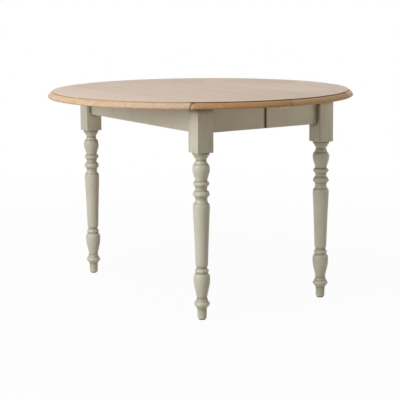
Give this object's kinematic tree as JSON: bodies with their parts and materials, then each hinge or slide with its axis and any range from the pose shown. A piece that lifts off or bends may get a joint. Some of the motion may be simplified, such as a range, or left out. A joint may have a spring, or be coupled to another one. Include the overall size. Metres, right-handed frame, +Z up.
{
  "type": "extending dining table",
  "caption": "Round extending dining table with drop leaves on rule joints, turned legs and sliding runners.",
  "frame": {"origin": "on the floor, midway between the legs, under the middle seam", "axes": "+X the way the right half slides to extend the table, +Y along the seams to the back, +Z up"},
  "size_m": [1.15, 1.15, 0.76],
  "materials": {
    "limed_oak": "satin lacquer",
    "sage_paint": "satin paint",
    "beech": "bare, planed",
    "softwood": "bare, sawn",
    "hinge_steel": "plain rolled",
    "zinc_steel": "zinc plated",
    "clip_plastic": "matt",
    "glide_plastic": "matt"
  },
  "bodies": {
    "left_half": {"clip_tongues": "clip_plastic", "left_back_corner_block": "softwood", "left_back_leg": "sage_paint", "left_back_rail": "beech", "left_back_side_apron": "sage_paint", "left_end_apron": "sage_paint", "left_fixing_blocks": "softwood", "left_foot_glides": "glide_plastic", "left_front_corner_block": "softwood", "left_front_leg": "sage_paint", "left_front_rail": "beech", "left_front_side_apron": "sage_paint", "left_hinge_plates": "hinge_steel", "left_leg_bolts": "zinc_steel", "left_leg_nuts": "zinc_steel", "left_loper_guides": "beech", "left_top": "limed_oak", "locating_dowels": "softwood"},
    "right_half": {"clip_receivers": "clip_plastic", "right_back_corner_block": "softwood", "right_back_leg": "sage_paint", "right_back_rail": "beech", "right_back_side_apron": "sage_paint", "right_end_apron": "sage_paint", "right_fixing_blocks": "softwood", "right_foot_glides": "glide_plastic", "right_front_corner_block": "softwood", "right_front_leg": "sage_paint", "right_front_rail": "beech", "right_front_side_apron": "sage_paint", "right_hinge_plates": "hinge_steel", "right_leg_bolts": "zinc_steel", "right_leg_nuts": "zinc_steel", "right_loper_guides": "beech", "right_top": "limed_oak"},
    "left_flap": {"left_flap": "limed_oak", "left_flap_hinge_plates": "hinge_steel"},
    "right_flap": {"right_flap": "limed_oak", "right_flap_hinge_plates": "hinge_steel"},
    "middle_runners": {"front_runner": "beech", "back_runner": "beech"},
    "left_front_loper": {"left_front_loper": "beech", "left_front_loper_stops": "beech"},
    "left_back_loper": {"left_back_loper": "beech", "left_back_loper_stops": "beech"},
    "right_front_loper": {"right_front_loper": "beech", "right_front_loper_stops": "beech"},
    "right_back_loper": {"right_back_loper": "beech", "right_back_loper_stops": "beech"}
  },
  "joints": [
    {"name": "table_extension", "type": "slide", "parent": "left_half", "child": "right_half", "axis": [1, 0, 0], "range_m": [0, 0.5]},
    {"name": "middle_runner_slide", "type": "slide", "parent": "left_half", "child": "middle_runners", "axis": [1, 0, 0], "range_m": [0, 0.25]},
    {"name": "left_flap_hinge", "type": "hinge", "parent": "left_half", "child": "left_flap", "pos_m": [-0.32, 0, 0.736], "axis": [0, -1, 0], "range_deg": [0, 90]},
    {"name": "right_flap_hinge", "type": "hinge", "parent": "right_half", "child": "right_flap", "pos_m": [0.32, 0, 0.736], "axis": [0, 1, 0], "range_deg": [0, 90]},
    {"name": "left_front_loper_slide", "type": "slide", "parent": "left_half", "child": "left_front_loper", "axis": [1, 0, 0], "range_m": [-0.17, 0]},
    {"name": "left_back_loper_slide", "type": "slide", "parent": "left_half", "child": "left_back_loper", "axis": [1, 0, 0], "range_m": [-0.17, 0]},
    {"name": "right_front_loper_slide", "type": "slide", "parent": "right_half", "child": "right_front_loper", "axis": [-1, 0, 0], "range_m": [-0.17, 0]},
    {"name": "right_back_loper_slide", "type": "slide", "parent": "right_half", "child": "right_back_loper", "axis": [-1, 0, 0], "range_m": [-0.17, 0]}
  ],
  "couplings": [
    {"joint": "middle_runner_slide", "follows": "table_extension", "ratio": 0.5}
  ]
}
